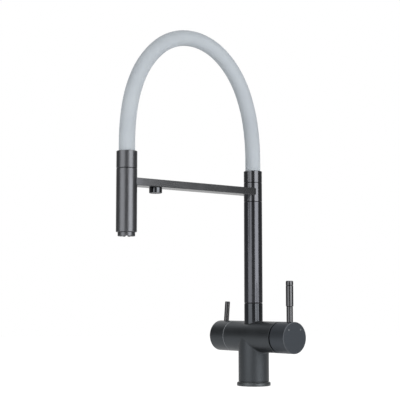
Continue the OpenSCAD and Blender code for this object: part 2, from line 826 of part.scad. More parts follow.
// Filter handle
module filter_frame() {
    translate([-filter_lever_x, 0, crossbar_z]) rotate([-filter_lean, 0, 0]) children();
}
module filter_cap() {
    color(graphite) difference() {
        to_left(filter_rim) bevelled(crossbar_d, filter_cap_l, edge, face_bevel);
        to_left(filter_rim - cut) cylinder(r = filter_cavity_r, h = filter_cavity_l + cut);
        mirror([1, 0, 0]) cap_pocket(filter_rim + filter_cavity_l, filter_face - cap_end_t,
            filter_lever_x, filter_grub_x, filter_lean);
        to_left(filter_rim)
            cylinder(d = spindle_d + 2 * fit_gap, h = spindle_end + fit_gap - filter_rim);
        translate([-filter_grub_x, 0, crossbar_z - crossbar_r - cut])
            cylinder(d = filter_grub_d + 2 * fit_gap, h = crossbar_r + cut);
        filter_frame() {
            translate([0, 0, filter_lever_root - root_gap])
                cylinder(d = filter_stud_d + 2 * fit_gap, h = crossbar_r);
            translate([0, 0, filter_lever_foot])
                cylinder(d = filter_lever_d + 2 * fit_gap, h = crossbar_r);
        }
    }
}
module filter_grub_screw() {
    color(satin_steel) translate([-filter_grub_x, 0, crossbar_z - spindle_d / 2 - filter_grub_l])
        grub_screw(filter_grub_d, filter_grub_l, filter_grub_hex);
}
module filter_lever() {
    color(gunmetal) filter_frame() {
        translate([0, 0, filter_lever_root])
            cylinder(d = filter_stud_d, h = filter_lever_foot - filter_lever_root + cut);
        translate([0, 0, filter_lever_foot + fit_gap])
            bevelled(filter_lever_d, filter_lever_top - filter_lever_foot - fit_gap, 0, edge);
    }
}

// Column
module column_tube() {
    color(graphite) difference() {
        translate([0, 0, column_low]) bevelled(column_d, ring_low - column_low, edge, edge);
        translate([0, 0, column_low]) bore(2 * column_bore_r, ring_low - column_low);
    }
}
module filter_tube() {
    top = arm_z - nipple_bore_r;
    low = filter_seat_z + part_gap;
    color(satin_steel) translate([0, 0, low]) ring(filter_tube_d, filter_tube_bore, top - low);
}
module filter_tube_seal() {
    color(black_rubber) translate([0, 0, filter_seat_z + tube_seal_rise + tube_seal_w / 2])
        o_ring(filter_tube_d / 2 + run_gap + tube_seal_r, tube_seal_r);
}
module arm_ring() {
    low = ring_low + ring_seam;
    high = ring_high - ring_seam;
    color(graphite) difference() {
        union() {
            difference() {
                union() {
                    translate([0, 0, low]) bevelled(column_d, high - low, edge, edge);
                    translate([0, 0, low - plug_l])
                        cylinder(r = column_bore_r - fit_gap, h = plug_l + cut);
                    translate([0, 0, high - cut])
                        cylinder(r = collar_bore_r - fit_gap, h = ring_plug_l + ring_seam + cut);
                }
                translate([0, 0, low - plug_l]) bore(2 * ring_bore_r, high - low + 2 * plug_l);
            }
            translate([0, 0, arm_z - ring_hub_drop]) cylinder(r = ring_hub_r, h = ring_hub_l);
            translate([0, 0, arm_z]) rotate([90, 0, 0])
                cylinder(r = ring_boss_r, h = column_r - cut);
        }
        translate([0, 0, arm_z - ring_hub_drop - cut])
            cylinder(d = filter_tube_d + 2 * fit_gap, h = ring_hub_drop + cut);
        translate([0, -nipple_start, arm_z]) rotate([90, 0, 0])
            cylinder(r = nipple_r + fit_gap, h = column_r);
        translate([0, 0, arm_z]) rotate([90, 0, 0]) cylinder(r = nipple_bore_r, h = column_r);
    }
}
module arm_nipple() {
    color(brass) translate([0, -nipple_start - fit_gap, arm_z]) rotate([90, 0, 0])
        ring(2 * nipple_r, 2 * nipple_bore_r, nipple_l);
}
module arm_section() {
    w = arm_w / 2;
    h = arm_h / 2;
    polygon([
        [-w, -h + arm_edge], [-w + arm_edge, -h], [w - arm_edge, -h], [w, -h + arm_edge],
        [w, h - arm_edge], [w - arm_edge, h], [-w + arm_edge, h], [-w, h - arm_edge]
    ]);
}
module arm() {
    color(gunmetal) difference() {
        translate([0, 0, arm_z]) rotate([90, 0, 0]) linear_extrude(arm_end) arm_section();
        translate([0, 0, arm_z - arm_h]) cylinder(r = column_r + fit_gap, h = 2 * arm_h);
        translate([0, 0, arm_z]) rotate([90, 0, 0])
            cylinder(r = nipple_bore_r, h = outlet_y + nipple_bore_r);
        translate([0, 0, arm_z]) rotate([90, 0, 0])
            cylinder(r = nipple_r + fit_gap, h = nipple_start + nipple_l + 4 * fit_gap);
        translate([0, -outlet_y, arm_z - arm_h]) cylinder(r = nipple_bore_r - way_gap, h = arm_h);
        translate([0, -outlet_y, arm_z - arm_h])
            cylinder(r = outlet_spigot_r + fit_gap, h = arm_h / 2 + outlet_spigot_l + fit_gap);
        dock_bores();
    }
}
module dock_bores() {
    translate([0, magnet_back + fit_gap, arm_z]) rotate([90, 0, 0])
        cylinder(d = magnet_d + 2 * fit_gap, h = magnet_t + dock_t);
    for (x = [-dock_screw_x, dock_screw_x]) translate([x, -dock_screw_y, arm_z]) {
        rotate([-90, 0, 0]) cylinder(d = dock_screw_d + 2 * fit_gap, h = dock_screw_l + fit_gap);
        rotate([90, 0, 0]) cylinder(d = dock_screw_head_d + 2 * fit_gap, h = head_r);
    }
}
module dock_cradle() {
    color(gunmetal) difference() {
        translate([0, -arm_end, arm_z]) rotate([90, 0, 0])
            linear_extrude(dock_t + part_gap + head_r / 2) arm_section();
        at_head(arm_z - arm_h) cylinder(r = head_r + part_gap, h = 2 * arm_h);
        dock_bores();
    }
}
module dock_magnet() {
    color(satin_steel) translate([0, magnet_back, arm_z]) rotate([90, 0, 0])
        cylinder(d = magnet_d, h = magnet_t);
}
module dock_screws() {
    color(satin_steel) for (x = [-dock_screw_x, dock_screw_x])
        translate([x, -dock_screw_y, arm_z]) difference() {
            union() {
                rotate([-90, 0, 0]) cylinder(d = dock_screw_d, h = dock_screw_l);
                rotate([90, 0, 0]) cylinder(d = dock_screw_head_d, h = dock_screw_head_t);
            }
            translate([0, -dock_screw_head_t - cut, 0]) rotate([-90, 0, 0])
                cylinder(d = dock_screw_hex, h = cut + dock_screw_head_t / 2, $fn = 6);
        }
}

// Filtered water outlet under the arm
module filter_outlet() {
    top = arm_z - arm_h / 2;
    color(graphite) translate([0, -outlet_y, top - outlet_drop]) difference() {
        union() {
            bevelled(outlet_d, outlet_drop, edge, edge);
            translate([0, 0, outlet_drop - cut]) cylinder(r = outlet_spigot_r, h = outlet_spigot_l + cut);
        }
        bore(2 * nipple_bore_r, outlet_drop + outlet_spigot_l);
        translate([0, 0, -cut])
            cylinder(r = aerator_r + fit_gap, h = cut + aerator_inset + aerator_t);
        translate([0, 0, outlet_drop - 2 * seal_r])
            ring(2 * (outlet_spigot_r + 2 * seal_r + fit_gap), 2 * outlet_spigot_r - 4 * fit_gap,
                2 * seal_r + cut / 2);
    }
}
module outlet_seal() {
    color(black_rubber) translate([0, -outlet_y, arm_z - arm_h / 2 - seal_r])
        o_ring(outlet_spigot_r + seal_r, seal_r - fit_gap);
}
module filter_aerator() {
    color(mark_grey) translate([0, -outlet_y, arm_z - arm_h / 2 - outlet_drop + aerator_inset])
        difference() {
            cylinder(r = aerator_r, h = aerator_t);
            around(aerator_holes) translate([aerator_ring_r, 0, 0]) bore(2 * aerator_hole_r, aerator_t);
            bore(2 * aerator_hole_r, aerator_t);
        }
}

// Hose and its ends
module column_collar() {
    low = ring_high;
    color(graphite) difference() {
        translate([0, 0, low]) bevelled(column_d, collar_top - low, edge, edge);
        translate([0, 0, low]) bore(2 * collar_bore_r, collar_top - low);
    }
}
module barb() {
    difference() {
        union() {
            cylinder(r = barb_flange_r, h = barb_flange_t);
            cylinder(d = inner_hose_bore - 2 * fit_gap, h = barb_flange_t + barb_l);
        }
        bore(inner_hose_bore - 2 * barb_wall, barb_flange_t + barb_l);
    }
}
module column_barb() {
    color(brass) translate([0, 0, column_seat_z]) barb();
}
// A tube with a bore, swept along the hose's arc: walls outside and inside, then both ends.
// The flats of the bore touch its circle, so that what fits in it stays clear.
module hose_tube(outer_r, bore_r, sides) {
    rings = len(hose_path);
    half = rings * sides;
    function side(j) = j % sides;
    walls = [for (i = [0:rings - 2], j = [0:sides - 1])
        let (a = i * sides + j, b = i * sides + side(j + 1), c = b + sides, d = a + sides)
        each [[a, b, c], [a, c, d], [half + a, half + c, half + b], [half + a, half + d, half + c]]];
    last = half - sides;
    ends = [for (j = [0:sides - 1])
        let (a = j, b = side(j + 1), c = last + j, d = last + side(j + 1))
        each [[a, half + a, half + b], [a, half + b, b], [c, d, half + d], [c, half + d, half + c]]];
    bore_corner_r = bore_r / cos(180 / sides);
    polyhedron(concat(hose_rings(outer_r, sides), hose_rings(bore_corner_r, sides)),
        concat(walls, ends));
}
module hose_sleeve() {
    color(silicone_grey) hose_tube(hose_d / 2, hose_bore / 2, 24);
}
module inner_hose() {
    color(black_rubber) hose_tube(inner_hose_d / 2, inner_hose_bore / 2, 16);
}
module head_collar() {
    low = head_seam + head_gap;
    color(gunmetal) difference() {
        at_head(low) bevelled(head_d, head_top - low, edge, edge);
        at_head(head_seat_z) cylinder(r = collar_bore_r, h = head_top - head_seat_z + cut);
        at_head(low) bore(2 * (head_stud_r + fit_gap), head_seat_z - low);
    }
}
module head_barb() {
    color(brass) difference() {
        union() {
            at_head(head_seat_z) barb();
            at_head(head_seat_z - head_stud_l) cylinder(r = head_stud_r, h = head_stud_l + barb_flange_t);
        }
        at_head(head_seat_z - head_stud_l) bore(inner_hose_bore - 2 * barb_wall, head_stud_l + barb_flange_t);
    }
}

// Spray head
module head_barrel() {
    high = head_seam - head_gap;
    color(gunmetal) difference() {
        at_head(barrel_bottom) bevelled(head_d, high - barrel_bottom, edge, edge);
        at_head(barrel_bottom) bore(2 * barrel_r, high - barrel_bottom);
    }
}
module head_core() {
    high = head_seam - head_gap - core_inset;
    socket = head_seat_z - head_stud_l - part_gap;
    color(cartridge_white) difference() {
        at_head(core_low) cylinder(r = core_r, h = high - core_low);
        at_head(core_low) bore(2 * core_way_r, high - core_low);
        at_head(socket) cylinder(r = head_stud_r + run_gap, h = high - socket + cut);
        at_head(valve_z) cylinder(r = valve_way_r, h = valve_way_l);
        at_head(barrel_bottom)
            cylinder(r = nozzle_tail_r + run_gap, h = nozzle_tail_l + part_gap);
        at_head(arm_z - magnet_ring_h / 2)
            ring(4 * core_r, 2 * (core_r - magnet_ring_t), magnet_ring_h);
    }
}
module head_magnet_ring() {
    color(satin_steel) at_head(arm_z - magnet_ring_h / 2 + fit_gap)
        ring(2 * core_r, 2 * (core_r - magnet_ring_t + fit_gap), magnet_ring_h - 2 * fit_gap);
}
module check_valve() {
    color(cartridge_white) at_head(valve_z) difference() {
        cylinder(r = valve_way_r - fit_gap, h = valve_body_l);
        around(valve_slots) translate([valve_slot_r, 0, 0]) bore(valve_slot_d, valve_body_l);
    }
}
module nozzle_ring() {
    color(gunmetal) difference() {
        union() {
            at_head(nozzle_low) bevelled(nozzle_d, nozzle_drop - head_gap, edge, edge);
            at_head(barrel_bottom - cut) cylinder(r = nozzle_tail_r, h = nozzle_tail_l + cut);
        }
        at_head(nozzle_low) bore(2 * nozzle_bore_r, nozzle_drop + nozzle_tail_l);
        at_head(nozzle_low) around(notches) translate([nozzle_bore_r - cut, 0, 0])
            rotate([0, 90, 0]) cylinder(r = notch_r, h = nozzle_d / 2);
    }
}
module spray_plate() {
    color(black_rubber) at_head(nozzle_low + notch_r + plate_inset) difference() {
        cylinder(r = nozzle_bore_r - fit_gap, h = plate_t);
        for (jets = jet_rings) around(jets[0]) translate([jets[1], 0, 0]) bore(2 * jet_r, plate_t);
    }
}

tap_body();
base_ring();
base_seal();
swivel_washer();
swivel_grub_screw();
filter_tube_seal();
cartridge_seals();
cartridge_base();
cartridge_housing();
cartridge_fixed_disc();
cartridge_nut();
dome_ring();
cartridge_carrier();
tilt_pin();
cartridge_moving_disc();
disc_driver();
lever_stem();
mixer_cap();
mixer_grub_screw();
mixer_lever_rod();
mixer_lever_grip();
mixer_lever_tip();
temperature_marks();
filter_valve_seal();
filter_fixed_disc();
filter_valve_housing();
filter_valve_nut();
filter_moving_disc();
filter_spindle();
filter_cap();
filter_grub_screw();
filter_lever();
swivel_spigot();
swivel_o_rings();
column_tube();
filter_tube();
arm_ring();
arm_nipple();
arm();
filter_outlet();
outlet_seal();
filter_aerator();
dock_cradle();
dock_magnet();
dock_screws();
column_collar();
column_barb();
hose_sleeve();
inner_hose();
head_collar();
head_barb();
head_barrel();
head_core();
head_magnet_ring();
check_valve();
nozzle_ring();
spray_plate();
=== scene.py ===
import math

import bmesh
import bpy
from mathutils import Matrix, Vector


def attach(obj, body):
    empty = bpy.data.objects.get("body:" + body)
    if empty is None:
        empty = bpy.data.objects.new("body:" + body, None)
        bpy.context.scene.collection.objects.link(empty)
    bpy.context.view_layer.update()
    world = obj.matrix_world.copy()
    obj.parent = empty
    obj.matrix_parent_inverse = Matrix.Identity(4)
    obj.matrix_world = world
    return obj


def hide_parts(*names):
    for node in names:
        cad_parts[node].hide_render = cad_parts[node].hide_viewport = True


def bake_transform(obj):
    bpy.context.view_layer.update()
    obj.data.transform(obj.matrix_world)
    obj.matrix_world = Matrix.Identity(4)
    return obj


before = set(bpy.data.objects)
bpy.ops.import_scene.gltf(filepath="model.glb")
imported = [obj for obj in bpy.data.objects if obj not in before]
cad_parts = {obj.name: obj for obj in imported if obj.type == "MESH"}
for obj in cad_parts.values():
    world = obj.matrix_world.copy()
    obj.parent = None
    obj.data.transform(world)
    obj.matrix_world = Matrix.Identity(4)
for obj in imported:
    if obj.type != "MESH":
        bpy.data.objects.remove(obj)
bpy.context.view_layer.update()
print("frame loaded:", len(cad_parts), "nodes")

mm = 0.001
scene = bpy.context.scene


# Camera, as the photograph was taken: from the front right, a little below the middle
cameraSettings = {
    "azimuth": 48.26,  # where it stands, degrees from -Y towards +X
    "distance": 1618.8,  # mm from the column's axis
    "height": 127.8,  # mm above the deck
    "aimAzimuth": 51.14,
    "pitch": 5.43,  # degrees, upwards
    "lens": 95.14,  # mm, for the sensor's width below
    "sensor": 36,
    "clip": (0.05, 60),  # m
}


def makeCamera(s):
    stand = math.radians(s["azimuth"])
    aim = math.radians(s["aimAzimuth"])
    pitch = math.radians(s["pitch"])
    data = bpy.data.cameras.new("photoCamera")
    data.lens = s["lens"]
    data.sensor_width = s["sensor"]
    data.clip_start, data.clip_end = s["clip"]
    camera = bpy.data.objects.new("photoCamera", data)
    scene.collection.objects.link(camera)
    flat = s["distance"] * mm
    camera.location = (flat * math.sin(stand), -flat * math.cos(stand), s["height"] * mm)
    forward = Vector((-math.sin(aim) * math.cos(pitch), math.cos(aim) * math.cos(pitch), math.sin(pitch)))
    camera.rotation_euler = forward.to_track_quat("-Z", "Y").to_euler()
    scene.camera = camera


makeCamera(cameraSettings)
scene.view_settings.view_transform = "Standard"
print("camera ready")


# Colour and shader helpers
def linear(hexColour):
    channels = [int(hexColour[i:i + 2], 16) / 255 for i in (1, 3, 5)]
    return [c / 12.92 if c <= 0.04045 else ((c + 0.055) / 1.055) ** 2.4 for c in channels] + [1]


def addNode(tree, kind, inputs=None, **settings):
    node = tree.nodes.new(kind)
    for name, value in settings.items():
        setattr(node, name, value)
    for name, value in (inputs or {}).items():
        socket = node.inputs[name]
        if isinstance(value, bpy.types.NodeSocket):
            tree.links.new(value, socket)
        else:
            socket.default_value = value
    return node


def setRamp(node, stops):
    ramp = node.color_ramp
    while len(ramp.elements) < len(stops):
        ramp.elements.new(0.5)
    for element, (position, colour) in zip(ramp.elements, stops):
        element.position = position
        element.color = colour


def grey(level):
    return (level, level, level, 1)


def newMaterial(name):
    material = bpy.data.materials.new(name)
    material.use_nodes = True
    material.node_tree.nodes.clear()
    return material, material.node_tree


def finishMaterial(tree, shader):
    addNode(tree, "ShaderNodeOutputMaterial", {"Surface": shader.outputs["BSDF"]})


# Metal skins. Most are gunmetal PVD over brass, a thin dark coat. Brushed, it keeps narrow
# bands of light. Blasted, as on the casting, it scatters light and looks matt. Handling rubs
# and dulls it in wide patches. The grain is drawn coarser than the real 0.1 mm, to show.
metalWear = {
    "grainDetail": 3.0,
    "darkAt": 0.25,  # height in the grain
    "lightAt": 0.75,
    "grainDepthMm": 0.02,
    "patchDetail": 2.0,
    "patchFrom": 0.3,
    "patchTo": 0.7,
    "rubbed": -0.03,  # added to the roughness, at the two ends of a patch
    "dulled": 0.04,
}


def metalSkin(name, s):
    material, tree = newMaterial(name)
    place = addNode(tree, "ShaderNodeTexCoord")
    stretch = [1 / (length * mm) for length in s["grainMm"]]
    mapped = addNode(tree, "ShaderNodeMapping", {"Vector": place.outputs["Object"], "Scale": stretch})
    grain = addNode(tree, "ShaderNodeTexNoise", {
        "Vector": mapped.outputs["Vector"], "Scale": 1.0, "Detail": metalWear["grainDetail"],
    })
    patch = addNode(tree, "ShaderNodeTexNoise", {
        "Vector": place.outputs["Object"],
        "Scale": 1 / (s["patchMm"] * mm),
        "Detail": metalWear["patchDetail"],
    })
    tint = addNode(tree, "ShaderNodeValToRGB", {"Fac": grain.outputs["Fac"]})
    setRamp(tint, [(metalWear["darkAt"], linear(s["dark"])), (metalWear["lightAt"], linear(s["light"]))])
    worn = addNode(tree, "ShaderNodeMapRange", {
        "Value": patch.outputs["Fac"],
        "From Min": metalWear["patchFrom"], "From Max": metalWear["patchTo"],
        "To Min": s["roughness"] + metalWear["rubbed"], "To Max": s["roughness"] + metalWear["dulled"],
    })
    rough = addNode(tree, "ShaderNodeMath", {
        0: grain.outputs["Fac"], 1: s["grainRoughness"], 2: worn.outputs["Result"],
    }, operation="MULTIPLY_ADD")
    bump = addNode(tree, "ShaderNodeBump", {
        "Height": grain.outputs["Fac"],
        "Strength": s["bump"],
        "Distance": metalWear["grainDepthMm"] * mm,
    })
    shader = addNode(tree, "ShaderNodeBsdfPrincipled", {
        "Base Color": tint.outputs["Color"],
        "Metallic": 1.0,
        "Roughness": rough.outputs["Value"],
        "Specular Tint": linear(s["edge"]),
        "Normal": bump.outputs["Normal"],
    })
    if "neck" in s:
        polishedNeck(tree, place, shader, s["neck"])
    # a cap's bevelled rim gets a painted highlight colour
    if "rim" in s:
        paintedRimHighlight(tree, place, shader, s["rim"])
    finishMaterial(tree, shader)
    return material


def tintOver(tree, shader, share, colour):
    tinted = addNode(tree, "ShaderNodeMixRGB", {
        "Fac": share,
        "Color1": shader.inputs["Base Color"].links[0].from_socket,
        "Color2": linear(colour),
    })
    tree.links.new(tinted.outputs["Color"], shader.inputs["Base Color"])


# The casting's neck is turned and polished like the tube above it. It is the part of the
# casting that is close round the axis and above the crossbar's middle.
def polishedNeck(tree, place, shader, neck):
    where = addNode(tree, "ShaderNodeSeparateXYZ", {"Vector": place.outputs["Object"]})
    above = addNode(tree, "ShaderNodeMath", {
        0: where.outputs["Z"], 1: neck["aboveMm"] * mm,
    }, operation="GREATER_THAN")
    flat = addNode(tree, "ShaderNodeVectorMath", {
        0: place.outputs["Object"], 1: (1, 1, 0),
    }, operation="MULTIPLY")
    radius = addNode(tree, "ShaderNodeVectorMath", {0: flat.outputs["Vector"]}, operation="LENGTH")
    share = addNode(tree, "ShaderNodeMapRange", {
        "Value": radius.outputs["Value"],
        "From Min": neck["radiusMm"] * mm, "From Max": (neck["radiusMm"] + neck["fadeMm"]) * mm,
        "To Min": above.outputs["Value"], "To Max": 0.0,
    }, interpolation_type="SMOOTHSTEP")
    roughness = addNode(tree, "ShaderNodeMix", {
        "Factor": share.outputs["Result"],
        "A": shader.inputs["Roughness"].links[0].from_socket,
        "B": neck["roughness"],
    })
    tree.links.new(roughness.outputs["Result"], shader.inputs["Roughness"])
    tintOver(tree, shader, share.outputs["Result"], neck["colour"])


# Painted highlight: a cap's bevelled rim is tinted lighter, standing in for the glint of light on the bevel.
# The bevel is the only face of a cap that leans halfway between its side and its end.
rimLean = ((0.35, 0), (0.5, 1), (0.85, 1), (0.95, 0))


def paintedRimHighlight(tree, place, shader, colour):
    lean = addNode(tree, "ShaderNodeSeparateXYZ", {"Vector": place.outputs["Normal"]})
    highlightMask = addNode(tree, "ShaderNodeValToRGB", {"Fac": lean.outputs["X"]})
    setRamp(highlightMask, [(x, grey(share)) for x, share in rimLean])
    tintOver(tree, shader, highlightMask.outputs["Color"], colour)


# Silicone rubber, extruded and dusted matt: pale grey with a faint mottle, soft at its edges,
# because a little light goes in under the skin
def dustedSilicone(name, s):
    material, tree = newMaterial(name)
    place = addNode(tree, "ShaderNodeTexCoord")
    mottle = addNode(tree, "ShaderNodeTexNoise", {
        "Vector": place.outputs["Object"], "Scale": 1 / (s["mottleMm"] * mm), "Detail": s["mottleDetail"],
    })
    dust = addNode(tree, "ShaderNodeTexNoise", {
        "Vector": place.outputs["Object"], "Scale": 1 / (s["dustMm"] * mm), "Detail": s["dustDetail"],
    })
    tint = addNode(tree, "ShaderNodeValToRGB", {"Fac": mottle.outputs["Fac"]})
    setRamp(tint, [(s["shadeAt"], linear(s["shade"])), (s["colourAt"], linear(s["colour"]))])
    bump = addNode(tree, "ShaderNodeBump", {
        "Height": dust.outputs["Fac"], "Strength": s["bump"], "Distance": s["dustDepthMm"] * mm,
    })
    shader = addNode(tree, "ShaderNodeBsdfPrincipled", {
        "Base Color": tint.outputs["Color"],
        "Roughness": s["roughness"],
        "IOR": s["ior"],
        "Specular IOR Level": s["specularLevel"],
        "Subsurface Weight": s["under"],
        "Subsurface Radius": s["underRadius"],
        "Subsurface Scale": s["underScale"],
        "Normal": bump.outputs["Normal"],
    })
    finishMaterial(tree, shader)
    return material


# Moulded plastics, rubbers and ceramics: even colour with the fine texture of the mould
mouldTexture = {"detail": 3.0, "darkAt": 0.3, "lightAt": 0.7, "bump": 0.2, "depthMm": 0.03}


def moulded(name, dark, light, roughness, ior, textureMm):
    material, tree = newMaterial(name)
    place = addNode(tree, "ShaderNodeTexCoord")
    texture = addNode(tree, "ShaderNodeTexNoise", {
        "Vector": place.outputs["Object"],
        "Scale": 1 / (textureMm * mm),
        "Detail": mouldTexture["detail"],
    })
    tint = addNode(tree, "ShaderNodeValToRGB", {"Fac": texture.outputs["Fac"]})
    setRamp(tint, [(mouldTexture["darkAt"], linear(dark)), (mouldTexture["lightAt"], linear(light))])
    bump = addNode(tree, "ShaderNodeBump", {
        "Height": texture.outputs["Fac"],
        "Strength": mouldTexture["bump"],
        "Distance": mouldTexture["depthMm"] * mm,
    })
    shader = addNode(tree, "ShaderNodeBsdfPrincipled", {
        "Base Color": tint.outputs["Color"],
        "Roughness": roughness,
        "IOR": ior,
        "Normal": bump.outputs["Normal"],
    })
    finishMaterial(tree, shader)
    return material


# The same in all directions, as blasting leaves it
evenGrain = {
    "edge": "#ffffff", "grainMm": (0.8, 0.8, 0.8), "grainRoughness": 0.03, "patchMm": 30, "bump": 0.05,
}
# Drawn out round an upright piece, as brushing on a lathe leaves it
roundGrain = {
    "edge": "#ffffff", "grainMm": (6, 6, 0.8), "grainRoughness": 0.015, "patchMm": 40, "bump": 0.03,
}

finishes = {
    # blasted before it is coated: matt, with wide soft bands and a bright turned neck
    "casting": metalSkin("blastedGunmetalCasting", evenGrain | {
        "dark": "#404346", "light": "#44474a", "roughness": 0.42,
        "neck": {"radiusMm": 15.2, "fadeMm": 0.6, "aboveMm": 80, "roughness": 0.13, "colour": "#3c3e41"},
    }),
    # blasted as the casting is, a shade darker
    "filterCap": metalSkin("blastedGunmetalFilterCap", evenGrain | {
        # the rim colour is a painted highlight on the cap's bevel
        "dark": "#3e4144", "light": "#424548", "roughness": 0.4, "rim": "#7c7f82",
    }),
    # the flattest of all, so its end looks even and a little blue
    "mixerCap": metalSkin("satinGunmetalMixerCap", evenGrain | {
        # the rim colour is a painted highlight on the cap's bevel
        "dark": "#404449", "light": "#44484d", "roughness": 0.52, "rim": "#585b5f",
    }),
    # a slim rod, turned and left smooth: a fine band of light down its length
    "filterLever": metalSkin("turnedGunmetalFilterLever", evenGrain | {
        "dark": "#414142", "light": "#454546", "roughness": 0.15, "patchMm": 20,
    }),
    # satin: a soft line of light along its shoulder
    "footRing": metalSkin("satinGunmetalRing", evenGrain | {
        "dark": "#4b4e50", "light": "#4f5254", "roughness": 0.38, "grainMm": (5, 5, 0.8),
    }),
    # brushed round: clear bright and dark bands down its length
    "tube": metalSkin("brushedGunmetalTube", roundGrain | {
        "dark": "#46474b", "light": "#494a4e", "roughness": 0.18,
    }),
    # brushed as the tube is, a shade lighter
    "collar": metalSkin("brushedGunmetalCollar", roundGrain | {
        "dark": "#4c4d50", "light": "#4f5053", "roughness": 0.18,
    }),
    # brushed and held every day: broad satin bands
    "head": metalSkin("brushedGunmetalSprayHead", roundGrain | {
        "dark": "#56575a", "light": "#5a5b5e", "roughness": 0.32,
        "grainMm": (5, 5, 0.8), "grainRoughness": 0.02, "patchMm": 30,
    }),
    # brushed along its length: long faint streaks
    "arm": metalSkin("brushedGunmetalArm", roundGrain | {
        "dark": "#515254", "light": "#57585a", "roughness": 0.26,
        "grainMm": (0.8, 14, 0.8), "grainRoughness": 0.05, "bump": 0.05,
    }),
    # brushed fine and wiped often: crisp bands of a neutral grey
    "lever": metalSkin("brushedGunmetalLever", roundGrain | {
        "dark": "#48494a", "light": "#4b4b4d", "roughness": 0.17, "grainMm": (4, 4, 0.8), "patchMm": 20,
    }),
    # a small turned part: nearly a mirror
    "outlet": metalSkin("turnedGunmetalOutlet", roundGrain | {
        "dark": "#46484b", "light": "#494b4e", "roughness": 0.15, "grainMm": (3, 3, 0.8), "patchMm": 15,
    }),
    # stainless steel, turned and bare: pale, with turning lines
    "stainless": metalSkin("turnedStainlessSteel", {
        "dark": "#9fa1a3", "light": "#b9bbbd", "edge": "#e0e0e0", "roughness": 0.3,
        "grainMm": (3, 3, 0.2), "grainRoughness": 0.08, "patchMm": 15, "bump": 0.2,
    }),
    # nickel plate on a magnet: smooth, faintly yellow
    "nickel": metalSkin("nickelPlate", {
        "dark": "#b4b2aa", "light": "#c6c4bc", "edge": "#f0f0f0", "roughness": 0.16,
        "grainMm": (0.6, 0.6, 0.6), "grainRoughness": 0.03, "patchMm": 10, "bump": 0.05,
    }),
    # brass, turned and bare: warm yellow, with turning lines
    "brass": metalSkin("turnedBrass", {
        "dark": "#b08a3c", "light": "#cba656", "edge": "#fff2c8", "roughness": 0.27,
        "grainMm": (3, 3, 0.18), "grainRoughness": 0.06, "patchMm": 15, "bump": 0.2,
    }),
    "silicone": dustedSilicone("greySiliconeSleeve", {
        "colour": "#aeb4b9", "colourAt": 0.7, "shade": "#a7adb3", "shadeAt": 0.3,
        "mottleMm": 60, "mottleDetail": 3.0,
        "dustMm": 0.5, "dustDetail": 2.0, "dustDepthMm": 0.05, "bump": 0.25,
        "roughness": 0.58, "ior": 1.41, "specularLevel": 0.12,
        "under": 0.08, "underRadius": [0.004, 0.004, 0.005], "underScale": 0.5,  # light under the skin
    }),
    # moulded EPDM: near black, dull
    "rubber": moulded("blackEpdmRubber", "#1a1b1c", "#242527", roughness=0.62, ior=1.5, textureMm=1.5),
    # moulded acetal: slightly waxy white
    "acetal": moulded("whiteAcetal", "#dedcd4", "#e8e6de", roughness=0.38, ior=1.48, textureMm=4),
    # alumina, pressed and lapped: ivory and glossy
    "ceramic": moulded("polishedAlumina", "#ece9df", "#f4f1e8", roughness=0.12, ior=1.76, textureMm=3),
    # moulded ABS: mid grey, half glossy
    "paleAbs": moulded("paleGreyAbs", "#5c5f62", "#64676a", roughness=0.35, ior=1.53, textureMm=3),
}

nodeFinish = {
    "casting": "tap_body dome_ring",
    "outlet": "filter_outlet",
    "filterCap": "filter_cap",
    "mixerCap": "mixer_cap",
    "tube": "column_tube",
    "collar": "arm_ring column_collar",
    "head": "head_collar head_barrel nozzle_ring dock_cradle",
    "arm": "arm",
    "lever": "mixer_lever_rod mixer_lever_grip mixer_lever_tip",
    "filterLever": "filter_lever",
    "footRing": "base_ring",
    "stainless": "swivel_grub_screw tilt_pin mixer_grub_screw filter_grub_screw filter_tube dock_screws",
    "nickel": "dock_magnet head_magnet_ring",
    "brass": "cartridge_nut lever_stem filter_valve_housing filter_valve_nut filter_spindle swivel_spigot "
             "arm_nipple column_barb head_barb",
    "silicone": "hose_sleeve",
    "rubber": "base_seal swivel_washer filter_tube_seal cartridge_seals filter_valve_seal swivel_o_rings "
              "outlet_seal inner_hose spray_plate",
    "acetal": "cartridge_base cartridge_housing cartridge_carrier disc_driver head_core check_valve",
    "ceramic": "cartridge_fixed_disc cartridge_moving_disc filter_fixed_disc filter_moving_disc",
    "paleAbs": "temperature_marks filter_aerator",
}
for finishName, nodeNames in nodeFinish.items():
    for nodeName in nodeNames.split():
        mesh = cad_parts[nodeName].data
        mesh.materials.clear()
        mesh.materials.append(finishes[finishName])
print("materials ready:", len(finishes))


# Mesh helpers. Shapes are drawn in millimetres and made in metres.
def makePiece(name, bm, finish, smoothAngle):
    bmesh.ops.recalc_face_normals(bm, faces=bm.faces)
    mesh = bpy.data.meshes.new(name)
    bm.to_mesh(mesh)
    bm.free()
    piece = bpy.data.objects.new(name, mesh)
    scene.collection.objects.link(piece)
    mesh.materials.append(finishes[finish])
    mesh.polygons.foreach_set("use_smooth", [True] * len(mesh.polygons))
    mesh.set_sharp_from_angle(angle=math.radians(smoothAngle))
    return piece


# Joins two rows of points with faces. The rows are closed, so the last point meets the first.
def joinRows(bm, here, there):
    for i in range(len(here)):
        k = (i + 1) % len(here)
        bm.faces.new((here[i], there[i], there[k], here[k]))


# Base ring: turned, with a rounded shoulder and a shadow groove under the body
ringSettings = {
    "outer": 25.5,  # radii and heights in mm
    "inner": 20.3,
    "height": 6.6,
    "grooveInner": 22.2,
    "grooveLow": 5.75,
    "shoulder": 2.3,
    "shoulderLow": 3.5,
    "shoulderSteps": 8,
    "foot": 0.5,
    "seal": (21.5, 24.25, 1.5),  # inner and outer radius and depth of the seal's groove
    "around": 128,
    "smoothAngle": 30,
}


